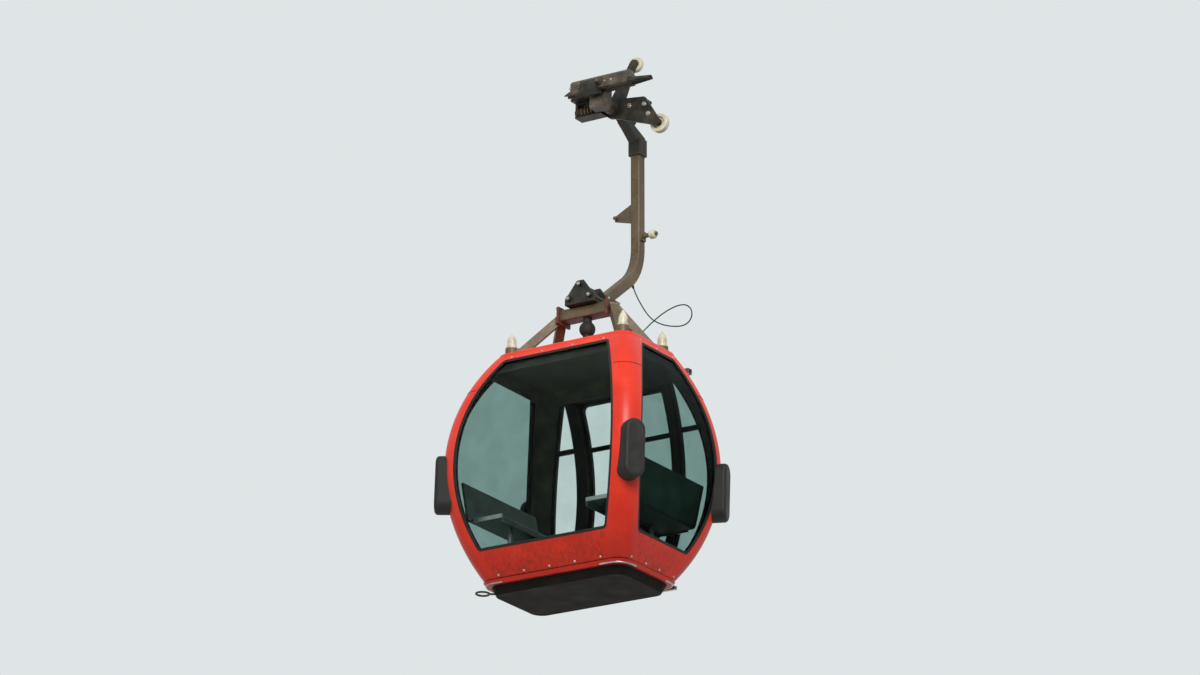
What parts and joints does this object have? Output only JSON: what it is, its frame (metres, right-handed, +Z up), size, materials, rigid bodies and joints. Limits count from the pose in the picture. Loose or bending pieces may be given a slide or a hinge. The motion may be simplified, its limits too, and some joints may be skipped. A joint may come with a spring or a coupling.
{
  "type": "four-seat cable car cabin with hanger and rope grip",
  "caption": "Small red four-seat cable car cabin with sliding doors, on a bent steel hanger and a detachable rope grip with free wheels.",
  "frame": {"origin": "on the haul rope's axis, in the grip's fixed jaw", "axes": "X along the rope and the cabin's length, +Y towards the hanger tube and the sliding doors, +Z up"},
  "size_m": [1.8878, 1.4003, 4.435],
  "materials": {
    "body_red": "gloss",
    "inner_dark": "matte",
    "galvanised": "matte",
    "dark_steel": "matte",
    "oxide": "matte",
    "glazing": "gloss",
    "black_rubber": "matte",
    "ivory": "satin",
    "bench": "satin",
    "light_metal": "satin",
    "cable": "matte"
  },
  "bodies": {
    "grip": {"grip_frame": "dark_steel", "grip_jaw": "dark_steel", "rope_tongues": "dark_steel", "pivot_axle": "galvanised", "spring_cage": "dark_steel", "spring_pack": "galvanised", "wheel_arm": "dark_steel", "coupling_lever": "dark_steel"},
    "running_wheel": {"running_wheel": "ivory"},
    "coupling_roller": {"coupling_roller": "ivory"},
    "cabin": {"hanger_head": "dark_steel", "hanger_tube": "galvanised", "hanger_arm": "galvanised", "tube_brackets": "galvanised", "suspension_head": "dark_steel", "hub_beam": "galvanised", "beam_flanges": "oxide", "hub_buffer": "black_rubber", "spider_arms": "galvanised", "roof_caps": "ivory", "roof_panel": "body_red", "top_frame": "body_red", "ceiling": "inner_dark", "pillar_front_right": "body_red", "pillar_rear_right": "body_red", "pillar_front_left": "body_red", "pillar_rear_left": "body_red", "sill_right": "body_red", "sill_left": "body_red", "sill_front": "body_red", "sill_rear": "body_red", "bottom_lip": "body_red", "floor_deck": "light_metal", "floor_pan": "dark_steel", "window_gaskets": "black_rubber", "window_right": "glazing", "window_front": "glazing", "window_rear": "glazing", "side_panes": "glazing", "side_rails": "inner_dark", "door_frame": "inner_dark", "door_rail_upper": "light_metal", "door_rail_lower": "light_metal", "bumpers": "black_rubber", "bench_front": "bench", "bench_rear": "bench", "bench_frames": "light_metal", "guide_hook": "dark_steel", "signal_cable": "cable", "cable_glands": "black_rubber"},
    "guide_roller": {"guide_roller": "ivory"},
    "door_front": {"door_leaf_front": "inner_dark", "door_pane_front": "glazing", "door_kick_front": "body_red"},
    "door_rear": {"door_leaf_rear": "inner_dark", "door_pane_rear": "glazing", "door_kick_rear": "body_red"}
  },
  "joints": [
    {"name": "hanger_swing", "type": "hinge", "parent": "grip", "child": "cabin", "pos_m": [0, 0.43, -0.06], "axis": [0, 1, 0], "range_deg": [-30, 30]},
    {"name": "running_wheel_spin", "type": "hinge", "parent": "grip", "child": "running_wheel", "pos_m": [0.41, 0.3, -0.245], "axis": [0, 1, 0], "continuous": true},
    {"name": "coupling_roller_spin", "type": "hinge", "parent": "grip", "child": "coupling_roller", "pos_m": [0.17, 0.3, 0.295], "axis": [0, 1, 0], "continuous": true},
    {"name": "guide_roller_spin", "type": "hinge", "parent": "cabin", "child": "guide_roller", "pos_m": [0.14, 0.64, -0.995], "axis": [1, 0, 0], "continuous": true},
    {"name": "door_front_slide", "type": "slide", "parent": "cabin", "child": "door_front", "axis": [1, 0, 0], "range_m": [0, 0.38]},
    {"name": "door_rear_slide", "type": "slide", "parent": "cabin", "child": "door_rear", "axis": [-1, 0, 0], "range_m": [0, 0.38]}
  ],
  "couplings": [
    {"joint": "door_rear_slide", "follows": "door_front_slide", "ratio": 1}
  ]
}
